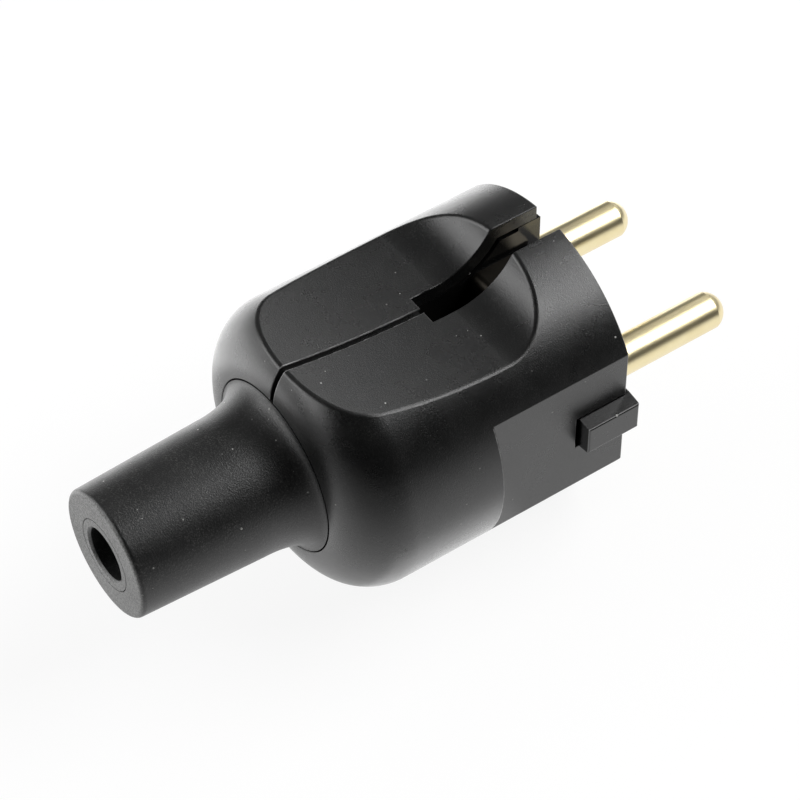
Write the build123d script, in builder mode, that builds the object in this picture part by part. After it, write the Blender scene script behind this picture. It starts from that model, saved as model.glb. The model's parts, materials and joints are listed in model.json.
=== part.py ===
"""Grounded mains plug for wiring on site: two round pins, side earth contacts and an earth socket.

Millimetres. The origin is the centre of the engagement face. +X runs out along the pins,
Y is the line through both pins, and +Z points to the upper earth slot.
"""

import os
from math import asin, degrees

from build123d import *

# Housing
body_diameter = 37.3
body_length = 39.6
flats_across = 32.4
flat_screw_gap = 0.55
nose_rounding = 7.5
wall = 1.95
nose_wall = 2.2
face_setback = 0.53
rim_rounding = 0.7
edge_rounding = 0.25
lip_rounding = 0.15
seam_width = 0.66
seam_depth = 1.0

# Finger dish, a trough straight across the housing above and below
dish_floor_height = 13.65
dish_low_x = -15.4
dish_front_radius = 9.0
dish_floor_radius = 115.0
dish_front_sweep = 80.0

# Pins and the terminal barrels behind them
pin_diameter = 4.8
pin_reach = 19.0
pin_spacing = 19.0
pin_dome_height = 1.8
pin_seat_diameter = 5.4
barrel_diameter = 7.4
barrel_length = 13.5
barrel_edge = 0.4
barrel_seat_depth = 5.0
wire_hole_diameter = 3.4
wire_hole_depth = 8.5

# Pin carrier
rear_room = 20.2
web_groove_depth = 2.8
lug_length = 7.4
lug_height = 4.6
lug_tip_height = 4.0
lug_reach = 1.95
lug_edge = 0.25
lug_rear_gap = 0.4
lug_side_gap = 0.15
waist_setback = 6.0
waist_length = 1.8
waist_depth = 1.0
waist_span = 17.0
relief_front_x = -3.2
relief_gap = 0.9
relief_depth = 0.7
relief_width = 18.0

# Earth slots in the housing, and the strap whose two ends are the contacts in them
slot_width = 4.4
slot_rear_gap = 1.4
strap_width = 3.6
strap_thickness = 0.6
strap_bend = 0.7
contact_height = 13.0
contact_length = 8.5
contact_setback = 1.4
strap_return_z = 6.7

# Socket for an earth pin that stands in the outlet
earth_pin_offset = 10.0
earth_mouth_diameter = 5.0
earth_mouth_length = 4.1
clip_bore_diameter = 4.6
clip_thickness = 0.45
clip_opening = 110.0
clip_tail_run = 2.2
clip_tail_lap = 0.6
clip_tail_width = 3.0
clip_tail_top_z = 2.2

# Earth terminal
block_width = 6.4
block_length = 8.7
rivet_diameter = 2.4
rivet_head_diameter = 3.4
rivet_head_height = 0.4

# Cable sleeve and the bush in its mouth
sleeve_length = 23.2
sleeve_end_diameter = 16.4
sleeve_root_diameter = 18.1
sleeve_edge = 0.6
flare_length = 6.1
sleeve_neck_diameter = 22.2
flange_diameter = 24.4
flange_thickness = 1.8
flange_rib_thickness = 1.4
flange_rib_bore = 20.0
funnel_diameter = 16.0
cable_hole_diameter = 6.8
cable_hole_edge = 0.3
bush_diameter = 9.2
bush_length = 18.0
bush_collar_diameter = 11.4
bush_collar_length = 2.0

# Screws
screw_diameter = 3.0
screw_slot_width = 0.8
screw_slot_depth = 0.9
terminal_head_diameter = 4.2
terminal_head_height = 1.4
terminal_head_lift = 0.2
terminal_screw_bite = 0.7
terminal_screw_inset = 3.3
pan_head_diameter = 5.5
pan_head_height = 2.0
pan_head_rounding = 0.7
housing_screw_setback = 14.7
housing_screw_z = 9.5
housing_screw_length = 22.5
housing_head_seat_y = 11.5
near_boss_diameter = 5.8
far_boss_diameter = 8.0
counterbore_diameter = 6.0

# Cord grip
grip_setback = 7.9
grip_width = 3.6
grip_length = 18.4
grip_height = 4.0
grip_seat_y = 1.0
grip_screw_z = 6.8
grip_screw_length = 12.0
grip_head_diameter = 4.2
grip_head_height = 1.6
grip_ridge_height = 0.4
grip_ridge_width = 0.7
pillar_diameter = 4.4
saddle_y = -4.2
saddle_width = 1.8

# Rests behind the pins
stop_thickness = 1.8
stop_height = 8.8
stop_inner_y = 6.0

# Clearances, and how far a cutting shape runs past what it cuts
slip = 0.05
seat_gap = 0.1
carrier_gap = 0.12
sleeve_gap = 0.14
screw_end_gap = 0.3
overrun = 2.0

# Sizes that follow from the ones above
body_radius = body_diameter / 2
flat_y = flats_across / 2
nose_start_x = nose_rounding - body_length
nose_inner_x = nose_wall - body_length
pin_y = pin_spacing / 2
carrier_rear_x = rear_room - body_length
carrier_length = -carrier_rear_x
waist_x = carrier_rear_x + waist_setback
relief_rear_x = waist_x + waist_length / 2 + relief_gap
barrel_front_x = carrier_rear_x + barrel_seat_depth
barrel_rear_x = barrel_front_x - barrel_length
terminal_screw_x = barrel_rear_x + terminal_screw_inset
flat_length = -terminal_screw_x - terminal_head_diameter / 2 - wall - flat_screw_gap
stop_x = barrel_rear_x - seat_gap - stop_thickness / 2
contact_front_x = -contact_setback
contact_rear_x = contact_front_x - contact_length
contact_seat_z = contact_height - strap_thickness
contact_mid_z = contact_height - strap_thickness / 2
web_front_x = carrier_rear_x + web_groove_depth
web_mid_x = web_front_x - strap_thickness / 2
web_rear_x = web_front_x - strap_thickness
slot_length = slot_rear_gap - web_rear_x
clip_bore_radius = clip_bore_diameter / 2
clip_radius = clip_bore_radius + clip_thickness
clip_front_x = -earth_mouth_length - seat_gap
clip_rear_x = web_front_x + clip_tail_run
clip_tail_z = clip_bore_radius + clip_thickness / 2 - earth_pin_offset
clip_tail_x = web_front_x + clip_thickness / 2
rivet_seat_x = web_front_x + clip_thickness
block_rear_x = web_rear_x - block_length
sleeve_end_x = -body_length - sleeve_length
flange_rear_x = nose_inner_x + seat_gap
flange_front_x = flange_rear_x + flange_thickness
rib_rear_x = flange_front_x + seat_gap
bush_shoulder_x = sleeve_end_x + bush_length
housing_screw_x = housing_screw_setback - body_length
grip_x = grip_setback - body_length
screw_radius = screw_diameter / 2
screw_hole_radius = screw_radius + slip
housing_screw_places = ((housing_screw_x, housing_screw_z), (housing_screw_x, -housing_screw_z))
grip_screw_places = ((grip_x, grip_screw_z), (grip_x, -grip_screw_z))
grip_top_y = grip_seat_y + grip_height
cable_radius = cable_hole_diameter / 2


def body_form(inset, front_x):
    """Outer form of the plug body, drawn in by inset all round and cut off at front_x."""
    floor_radius = dish_floor_radius + inset
    top_z = body_diameter
    floor_sweep = degrees(asin((body_length + dish_low_x + overrun) / floor_radius))
    with BuildPart() as form:
        with BuildSketch(Plane.XY):
            with BuildLine():
                nose = CenterArc(
                    (nose_start_x, body_radius - nose_rounding), nose_rounding - inset, 90, 90
                )
                Polyline(
                    nose @ 1,
                    (inset - body_length, 0),
                    (front_x, 0),
                    (front_x, body_radius - inset),
                    nose @ 0,
                )
            make_face()
        revolve(axis=Axis.X)
        with BuildSketch(Plane.XY):
            with Locations((-flat_length - inset, flat_y - inset)):
                Rectangle(flat_length + body_diameter, body_radius, align=Align.MIN)
            mirror(about=Plane.XZ)
        extrude(amount=body_radius, both=True, mode=Mode.SUBTRACT)
        with BuildSketch(Plane.XZ):
            with BuildLine():
                front = CenterArc(
                    (dish_low_x, dish_floor_height + dish_front_radius),
                    dish_front_radius + inset,
                    270,
                    dish_front_sweep,
                )
                floor = CenterArc(
                    (dish_low_x, dish_floor_height + dish_floor_radius), floor_radius, 270, -floor_sweep
                )
                Polyline(front @ 1, ((front @ 1).X, top_z), ((floor @ 1).X, top_z), floor @ 1)
            make_face()
            mirror(about=Plane.XZ)
        extrude(amount=body_diameter, both=True, mode=Mode.SUBTRACT)
    return form.part


def body_slice(inset, rear_x, front_x):
    """The part of the body form, drawn in by inset, that lies between two places along X."""
    with BuildPart() as piece:
        add(body_form(inset, overrun))
        with Locations((rear_x, 0, 0)):
            Box(
                front_x - rear_x,
                body_diameter,
                body_diameter,
                align=(Align.MIN, Align.CENTER, Align.CENTER),
                mode=Mode.INTERSECT,
            )
    return piece.part


def room(outward):
    """Space inside one half of the housing, with its bosses, ribs and rests left standing.

    outward is -1 for the near half and +1 for the far half, along Y.
    """
    boss_diameter = near_boss_diameter if outward < 0 else far_boss_diameter
    with BuildPart() as space:
        add(body_form(wall, overrun))
        with Locations((nose_inner_x, 0, 0)):
            Box(
                nose_wall,
                body_diameter,
                body_diameter,
                align=(Align.MAX, Align.CENTER, Align.CENTER),
                mode=Mode.SUBTRACT,
            )
        with Locations((waist_x, 0, 0)):
            Box(waist_length, body_diameter, waist_span, mode=Mode.SUBTRACT)
        add(body_slice(wall + waist_depth, waist_x - waist_length / 2, waist_x + waist_length / 2))
        with BuildSketch(Plane.YZ.offset(rib_rear_x)):
            Circle(body_diameter)
            Circle(flange_rib_bore / 2, mode=Mode.SUBTRACT)
        extrude(amount=flange_rib_thickness, mode=Mode.SUBTRACT)
        with BuildSketch(Plane.XZ):
            with Locations(*housing_screw_places):
                Circle(boss_diameter / 2)
        extrude(amount=-outward * body_radius, mode=Mode.SUBTRACT)
        with BuildSketch(Plane.XZ.offset(-outward * stop_inner_y)):
            with Locations((stop_x, 0)):
                Rectangle(stop_thickness, stop_height)
                Rectangle(stop_thickness, wire_hole_diameter, mode=Mode.SUBTRACT)
        extrude(amount=-outward * body_radius, mode=Mode.SUBTRACT)
        if outward < 0:
            with BuildSketch(Plane.XZ.offset(-grip_seat_y)):
                with Locations(*grip_screw_places):
                    Circle(pillar_diameter / 2)
            extrude(amount=body_diameter, mode=Mode.SUBTRACT)
            with BuildSketch(Plane.XZ.offset(-saddle_y)):
                with Locations((grip_x, 0)):
                    Rectangle(saddle_width, 2 * grip_screw_z)
            extrude(amount=body_radius, mode=Mode.SUBTRACT)
    return space.part


def half_shell(outward):
    """One moulded half of the housing, wall, bosses and openings, before its screw holes."""
    with BuildPart() as seam:
        Box(3 * body_length, seam_width, 2 * body_diameter)
        add(body_form(seam_depth, overrun), mode=Mode.SUBTRACT)
    skin = body_form(edge_rounding / 2, overrun)
    with BuildPart() as half:
        add(body_form(0, -face_setback))
        split(bisect_by=Plane.XZ, keep=Keep.TOP if outward < 0 else Keep.BOTTOM)
        fillet(edges().filter_by(GeomType.BSPLINE), rim_rounding)
        front = faces().sort_by(Axis.X)[-1]
        flat = faces().filter_by(Axis.Y).sort_by(Axis.Y)[0 if outward < 0 else -1]
        fillet(front.edges().filter_by(GeomType.CIRCLE) + flat.edges().sort_by(Axis.X)[1:], edge_rounding)
        with BuildSketch(Plane.XY):
            with Locations((-slot_length, 0)):
                Rectangle(slot_length + overrun, slot_width, align=(Align.MIN, Align.CENTER))
        extrude(amount=body_diameter, both=True, mode=Mode.SUBTRACT)
        with BuildSketch(Plane.XZ):
            with Locations((-lug_length - lug_rear_gap, 0)):
                Rectangle(
                    lug_length + lug_rear_gap + overrun,
                    lug_height + 2 * lug_side_gap,
                    align=(Align.MIN, Align.CENTER),
                )
        extrude(amount=body_diameter, both=True, mode=Mode.SUBTRACT)
        with BuildSketch(Plane.YZ.offset(-body_length)):
            Circle(sleeve_neck_diameter / 2 + sleeve_gap)
        extrude(amount=nose_wall + seat_gap, mode=Mode.SUBTRACT)
        add(seam.part, mode=Mode.SUBTRACT)
        # Lips of the openings; the step behind the flat runs out to nothing and stays sharp
        lips = edges().filter_by(
            lambda edge: not edge.is_interior
            and not skin.is_inside(edge @ 0.5)
            and abs((edge @ 0.5).X + flat_length) > slip
        )
        fillet(lips, lip_rounding)
        add(room(outward), mode=Mode.SUBTRACT)
        if outward < 0:
            # Blind holes in the screw bosses and in the cord grip's pillars
            with BuildSketch(Plane.XZ):
                with Locations(*housing_screw_places):
                    Circle(screw_hole_radius)
            extrude(amount=housing_screw_length - housing_head_seat_y + screw_end_gap, mode=Mode.SUBTRACT)
            with BuildSketch(Plane.XZ.offset(-grip_seat_y)):
                with Locations(*grip_screw_places):
                    Circle(screw_hole_radius)
            extrude(amount=grip_screw_length - grip_height + screw_end_gap, mode=Mode.SUBTRACT)
        else:
            # Holes right through the bosses, with deep seats for the heads
            with BuildSketch(Plane.XZ):
                with Locations(*housing_screw_places):
                    Circle(screw_hole_radius)
            extrude(amount=-body_diameter, mode=Mode.SUBTRACT)
            with BuildSketch(Plane.XZ.offset(-housing_head_seat_y)):
                with Locations(*housing_screw_places):
                    Circle(counterbore_diameter / 2)
            extrude(amount=-body_diameter, mode=Mode.SUBTRACT)
    return half


def pin(outward):
    """Turned pin with the terminal barrel behind its shoulder, on one side of the plug."""
    axis_plane = Plane(origin=(0, outward * pin_y, 0), x_dir=(1, 0, 0), z_dir=(0, -1, 0))
    with BuildPart() as turned:
        with BuildSketch(axis_plane):
            with BuildLine():
                dome_radius = ((pin_diameter / 2) ** 2 + pin_dome_height**2) / (2 * pin_dome_height)
                dome = RadiusArc(
                    (pin_reach, 0), (pin_reach - pin_dome_height, pin_diameter / 2), -dome_radius
                )
                Polyline(
                    dome @ 1,
                    (0, pin_diameter / 2),
                    (0, pin_seat_diameter / 2),
                    (barrel_front_x, pin_seat_diameter / 2),
                    (barrel_front_x, barrel_diameter / 2 - barrel_edge),
                    (barrel_front_x - barrel_edge, barrel_diameter / 2),
                    (barrel_rear_x + barrel_edge, barrel_diameter / 2),
                    (barrel_rear_x, barrel_diameter / 2 - barrel_edge),
                    (barrel_rear_x, wire_hole_diameter / 2),
                    (barrel_rear_x + wire_hole_depth, wire_hole_diameter / 2),
                    (barrel_rear_x + wire_hole_depth, 0),
                    dome @ 0,
                )
            make_face()
        revolve(axis=Axis((0, outward * pin_y, 0), (1, 0, 0)))
        with BuildSketch(axis_plane):
            with Locations((terminal_screw_x, 0)):
                Circle(screw_hole_radius)
        extrude(amount=-outward * barrel_diameter, mode=Mode.SUBTRACT)
    return turned


def slotted_screw(head_diameter, head_height, length, rounding):
    """Slotted screw along Z, with the underside of its head at zero and its shank below."""
    with BuildPart() as screw:
        with BuildSketch():
            Circle(head_diameter / 2)
        extrude(amount=head_height)
        fillet(edges().group_by(Axis.Z)[-1], rounding)
        with BuildSketch():
            Circle(screw_radius)
        extrude(amount=-length)
        with BuildSketch(Plane.XY.offset(head_height)):
            Rectangle(head_diameter, screw_slot_width)
        extrude(amount=-screw_slot_depth, mode=Mode.SUBTRACT)
    return screw.part


near_shell = half_shell(-1)
far_shell = half_shell(1)
line_pin = pin(-1)
neutral_pin = pin(1)

with BuildPart() as pin_carrier:
    add(body_slice(wall + carrier_gap, carrier_rear_x, 0))
    waist_half = waist_length / 2 + seat_gap
    with Locations((waist_x, 0, 0)):
        Box(2 * waist_half, body_diameter, waist_span + 2 * seat_gap, mode=Mode.SUBTRACT)
    add(body_slice(wall + waist_depth + carrier_gap, waist_x - waist_half, waist_x + waist_half))
    # Relief above and below, so that the insert bears on the shells at its front land and its rear
    with Locations(((relief_front_x + relief_rear_x) / 2, 0, 0)):
        Box(relief_front_x - relief_rear_x, relief_width, body_diameter, mode=Mode.SUBTRACT)
    add(body_slice(wall + relief_depth, relief_rear_x, relief_front_x))
    with BuildSketch(Plane.YZ):
        with BuildLine():
            Polyline(
                (0, 0),
                (0, lug_height / 2),
                (flat_y, lug_height / 2),
                (flat_y + lug_reach, lug_tip_height / 2),
                (flat_y + lug_reach, 0),
                close=True,
            )
        make_face()
        mirror(about=Plane.XZ)
        mirror(about=Plane.YZ)
    extrude(amount=-lug_length)
    lug_ends = faces().sort_by(Axis.Y)
    fillet(lug_ends[0].edges() + lug_ends[-1].edges(), lug_edge)
    # Pins and the barrels' seats
    with BuildSketch(Plane.YZ):
        with Locations((pin_y, 0), (-pin_y, 0)):
            Circle(pin_seat_diameter / 2 + slip)
        with Locations((0, -earth_pin_offset)):
            Circle(earth_mouth_diameter / 2)
    extrude(amount=-carrier_length, mode=Mode.SUBTRACT)
    with BuildSketch(Plane.YZ.offset(barrel_front_x)):
        with Locations((pin_y, 0), (-pin_y, 0)):
            Circle(barrel_diameter / 2 + slip)
    extrude(amount=-carrier_length, mode=Mode.SUBTRACT)
    # Bed of the earth strap: the slots' width is cut away outside the strap's inner line
    with BuildSketch(Plane.XZ):
        Rectangle(2 * body_diameter, 2 * body_diameter)
        with BuildLine():
            step_x = contact_rear_x + strap_thickness / 2
            return_seat_z = strap_return_z - strap_thickness / 2
            inner_bend = strap_bend - strap_thickness / 2
            outer_bend = strap_bend + strap_thickness / 2
            bed = FilletPolyline(
                (overrun, contact_seat_z),
                (step_x, contact_seat_z),
                (step_x, return_seat_z),
                (web_front_x, return_seat_z),
                (web_front_x, -contact_seat_z),
                (overrun, -contact_seat_z),
                radius=[inner_bend, outer_bend, inner_bend, inner_bend],
            )
            Line(bed @ 1, bed @ 0)
        make_face(mode=Mode.SUBTRACT)
    extrude(amount=slot_width / 2, both=True, mode=Mode.SUBTRACT)
    with BuildSketch(Plane.YZ.offset(web_front_x)):
        Rectangle(block_width + 2 * seat_gap, block_width + 2 * seat_gap)
    extrude(amount=-carrier_length, mode=Mode.SUBTRACT)
    # Earth socket clip, its tail and the rivet's head
    with BuildSketch(Plane.YZ.offset(-earth_mouth_length)):
        with Locations((0, -earth_pin_offset)):
            Circle(clip_radius + slip)
    extrude(amount=-carrier_length, mode=Mode.SUBTRACT)
    tail_low_z = clip_tail_z - clip_thickness / 2 - slip
    with BuildSketch(Plane.YZ.offset(rivet_seat_x + seat_gap)):
        with Locations((0, tail_low_z)):
            Rectangle(
                clip_tail_width + 2 * slip,
                clip_tail_top_z + slip - tail_low_z,
                align=(Align.CENTER, Align.MIN),
            )
    extrude(amount=-carrier_length, mode=Mode.SUBTRACT)
    with BuildSketch(Plane.YZ.offset(clip_rear_x + clip_tail_lap + slip)):
        with Locations((0, clip_tail_z)):
            Rectangle(clip_tail_width + 2 * slip, clip_thickness + 2 * seat_gap)
    extrude(amount=-carrier_length, mode=Mode.SUBTRACT)
    with BuildSketch(Plane.YZ.offset(rivet_seat_x + rivet_head_height + seat_gap)):
        Circle(rivet_head_diameter / 2 + seat_gap)
    extrude(amount=-carrier_length, mode=Mode.SUBTRACT)

with BuildPart() as earth_strap:
    with BuildSketch(Plane.XZ):
        with BuildLine():
            FilletPolyline(
                (contact_front_x, contact_mid_z),
                (contact_rear_x, contact_mid_z),
                (contact_rear_x, strap_return_z),
                (web_mid_x, strap_return_z),
                (web_mid_x, -contact_mid_z),
                (contact_front_x, -contact_mid_z),
                radius=strap_bend,
            )
        trace(line_width=strap_thickness)
    extrude(amount=strap_width / 2, both=True)
    with BuildSketch(Plane.YZ.offset(web_front_x)):
        Circle(rivet_diameter / 2 + slip)
    extrude(amount=-strap_thickness, mode=Mode.SUBTRACT)

with BuildPart() as earth_socket_clip:
    with BuildSketch(Plane.YZ.offset(clip_rear_x)):
        with BuildLine():
            clip_middle = (0, -earth_pin_offset)
            clip_start = 270 + clip_opening / 2
            clip_sweep = 360 - clip_opening
            outside = CenterArc(clip_middle, clip_radius, clip_start, clip_sweep)
            inside = CenterArc(clip_middle, clip_bore_radius, clip_start, clip_sweep)
            Line(outside @ 0, inside @ 0)
            Line(outside @ 1, inside @ 1)
        make_face()
    extrude(amount=clip_front_x - clip_rear_x)
    with BuildSketch(Plane.XZ):
        with BuildLine():
            FilletPolyline(
                (clip_rear_x + clip_tail_lap, clip_tail_z),
                (clip_tail_x, clip_tail_z),
                (clip_tail_x, clip_tail_top_z),
                radius=clip_thickness,
            )
        trace(line_width=clip_thickness)
    extrude(amount=clip_tail_width / 2, both=True)
    with BuildSketch(Plane.YZ.offset(web_front_x)):
        Circle(rivet_diameter / 2 + slip)
    extrude(amount=clip_thickness, mode=Mode.SUBTRACT)

with BuildPart() as earth_terminal:
    with BuildSketch(Plane.YZ.offset(web_rear_x)):
        Rectangle(block_width, block_width)
    extrude(amount=-block_length)
    chamfer(edges().filter_by(Axis.X), barrel_edge)
    with BuildSketch(Plane.YZ.offset(block_rear_x)):
        Circle(wire_hole_diameter / 2)
    extrude(amount=terminal_screw_inset + screw_diameter, mode=Mode.SUBTRACT)
    with BuildSketch(Plane.XY):
        with Locations((block_rear_x + terminal_screw_inset, 0)):
            Circle(screw_hole_radius)
    extrude(amount=block_width, mode=Mode.SUBTRACT)
    with BuildSketch(Plane.YZ.offset(web_rear_x)):
        Circle(rivet_diameter / 2)
    extrude(amount=rivet_seat_x - web_rear_x)
    with BuildSketch(Plane.YZ.offset(rivet_seat_x)):
        Circle(rivet_head_diameter / 2)
    extrude(amount=rivet_head_height)
    fillet(edges().group_by(Axis.X)[-1], rivet_head_height / 2)

terminal_head_reach = barrel_diameter / 2 + terminal_head_lift
terminal_head_y = pin_y + terminal_head_reach
terminal_screw = slotted_screw(
    terminal_head_diameter,
    terminal_head_height,
    terminal_head_reach + terminal_screw_bite,
    terminal_head_height / 4,
)
with BuildPart() as terminal_screws:
    with Locations(
        Plane(origin=(terminal_screw_x, -terminal_head_y, 0), z_dir=(0, -1, 0)),
        Plane(origin=(terminal_screw_x, terminal_head_y, 0), z_dir=(0, 1, 0)),
        Plane(origin=(block_rear_x + terminal_screw_inset, 0, terminal_head_reach), z_dir=(0, 0, 1)),
    ):
        add(terminal_screw)

housing_screw = slotted_screw(pan_head_diameter, pan_head_height, housing_screw_length, pan_head_rounding)
with BuildPart() as housing_screws:
    seats = [Plane(origin=(x, housing_head_seat_y, z), z_dir=(0, 1, 0)) for x, z in housing_screw_places]
    with Locations(*seats):
        add(housing_screw)

grip_screw = slotted_screw(grip_head_diameter, grip_head_height, grip_screw_length, pan_head_rounding)
with BuildPart() as cord_grip_screws:
    seats = [Plane(origin=(x, grip_top_y, z), z_dir=(0, 1, 0)) for x, z in grip_screw_places]
    with Locations(*seats):
        add(grip_screw)

with BuildPart() as cord_grip_bar:
    with BuildSketch(Plane.YZ.offset(grip_x)):
        with Locations((grip_seat_y + grip_height / 2, 0)):
            RectangleRounded(grip_height, grip_length, grip_ridge_height)
        Circle(cable_radius, mode=Mode.SUBTRACT)
    extrude(amount=grip_width / 2, both=True)
    with BuildSketch(Plane.YZ.offset(grip_x)):
        Circle(cable_radius + grip_ridge_height)
    extrude(amount=(grip_width - 2 * grip_ridge_width) / 2, both=True, mode=Mode.SUBTRACT)
    with BuildSketch(Plane.XZ):
        with Locations(*grip_screw_places):
            Circle(screw_hole_radius)
    extrude(amount=-body_radius, mode=Mode.SUBTRACT)

with BuildPart() as cable_sleeve:
    root_share = (sleeve_length - flare_length) / sleeve_length
    flare_radius = (
        sleeve_end_diameter + (sleeve_root_diameter - sleeve_end_diameter) * root_share
    ) / 2
    bush_hole_radius = bush_diameter / 2 + seat_gap
    collar_hole_radius = bush_collar_diameter / 2 + seat_gap
    with BuildSketch(Plane.XZ):
        with BuildLine():
            taper = Line(
                (sleeve_end_x, sleeve_end_diameter / 2), (-body_length - flare_length, flare_radius)
            )
            flare = EllipticalCenterArc(
                (-body_length - flare_length, sleeve_neck_diameter / 2),
                flare_length,
                sleeve_neck_diameter / 2 - flare_radius,
                start_angle=270,
                arc_size=90,
            )
            Polyline(
                flare @ 1,
                (flange_rear_x, sleeve_neck_diameter / 2),
                (flange_rear_x, flange_diameter / 2),
                (flange_front_x, flange_diameter / 2),
                (flange_front_x, funnel_diameter / 2),
                (bush_shoulder_x + bush_collar_length, collar_hole_radius),
                (bush_shoulder_x, collar_hole_radius),
                (bush_shoulder_x, bush_hole_radius),
                (sleeve_end_x, bush_hole_radius),
                taper @ 0,
            )
        make_face()
        fillet(vertices().group_by(Axis.X)[0].sort_by(Axis.Y)[-1], sleeve_edge)
    revolve(axis=Axis.X)

with BuildPart() as cable_reducer:
    with BuildSketch(Plane.XZ):
        with BuildLine():
            Polyline(
                (sleeve_end_x, cable_radius + cable_hole_edge),
                (sleeve_end_x, bush_diameter / 2),
                (bush_shoulder_x, bush_diameter / 2),
                (bush_shoulder_x, bush_collar_diameter / 2),
                (bush_shoulder_x + bush_collar_length, bush_collar_diameter / 2),
                (bush_shoulder_x + bush_collar_length, cable_radius),
                (sleeve_end_x + cable_hole_edge, cable_radius),
                close=True,
            )
        make_face()
    revolve(axis=Axis.X)

pieces = {
    "near_shell": near_shell,
    "far_shell": far_shell,
    "pin_carrier": pin_carrier,
    "line_pin": line_pin,
    "neutral_pin": neutral_pin,
    "earth_strap": earth_strap,
    "earth_socket_clip": earth_socket_clip,
    "earth_terminal": earth_terminal,
    "terminal_screws": terminal_screws,
    "housing_screws": housing_screws,
    "cord_grip_bar": cord_grip_bar,
    "cord_grip_screws": cord_grip_screws,
    "cable_sleeve": cable_sleeve,
    "cable_reducer": cable_reducer,
}
os.makedirs("parts", exist_ok=True)
for name, piece in pieces.items():
    piece.part.label = name
    export_step(piece.part, f"parts/{name}.step")
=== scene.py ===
"""Looks of a rewirable grounded plug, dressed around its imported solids.

Metres, in the frame of the solids: +X runs out along the pins, Y is the line through both pins,
+Z points to the upper earth slot, and the origin is the middle of the engagement face.
"""

from __future__ import annotations

import json
import logging
import math
from collections.abc import Callable
from dataclasses import dataclass, field
from enum import Enum

import bpy
from mathutils import Matrix, Vector

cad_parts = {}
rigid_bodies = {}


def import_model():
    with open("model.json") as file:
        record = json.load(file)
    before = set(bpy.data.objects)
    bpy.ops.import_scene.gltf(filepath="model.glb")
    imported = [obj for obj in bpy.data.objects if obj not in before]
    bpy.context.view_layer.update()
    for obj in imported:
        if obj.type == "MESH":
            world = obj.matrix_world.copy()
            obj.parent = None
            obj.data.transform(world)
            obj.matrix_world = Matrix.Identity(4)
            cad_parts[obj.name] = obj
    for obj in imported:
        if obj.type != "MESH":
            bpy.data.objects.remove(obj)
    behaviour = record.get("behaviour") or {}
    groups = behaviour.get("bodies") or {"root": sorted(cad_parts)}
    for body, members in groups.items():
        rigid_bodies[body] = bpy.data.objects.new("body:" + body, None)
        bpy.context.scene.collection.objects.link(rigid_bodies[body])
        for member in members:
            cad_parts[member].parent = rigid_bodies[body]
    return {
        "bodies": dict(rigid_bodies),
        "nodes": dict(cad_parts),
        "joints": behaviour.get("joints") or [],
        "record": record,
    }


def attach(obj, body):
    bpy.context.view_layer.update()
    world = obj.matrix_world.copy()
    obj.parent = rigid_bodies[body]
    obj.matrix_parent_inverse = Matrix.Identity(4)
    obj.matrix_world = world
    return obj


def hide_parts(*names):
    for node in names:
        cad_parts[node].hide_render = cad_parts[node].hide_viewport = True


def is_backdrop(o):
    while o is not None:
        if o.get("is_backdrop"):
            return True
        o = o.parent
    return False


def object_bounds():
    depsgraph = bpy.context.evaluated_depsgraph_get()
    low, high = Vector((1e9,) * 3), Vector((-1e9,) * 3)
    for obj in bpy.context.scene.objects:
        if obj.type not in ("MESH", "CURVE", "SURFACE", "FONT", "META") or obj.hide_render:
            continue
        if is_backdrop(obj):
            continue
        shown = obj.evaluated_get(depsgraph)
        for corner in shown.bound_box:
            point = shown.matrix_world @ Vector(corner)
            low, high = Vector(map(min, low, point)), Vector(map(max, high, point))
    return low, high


LOG = logging.getLogger("grounded_plug")
BODY = "root"
MM = 0.001
TINY = 1e-7
Colour = tuple[float, float, float]
Place = tuple[float, float, float]


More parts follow.
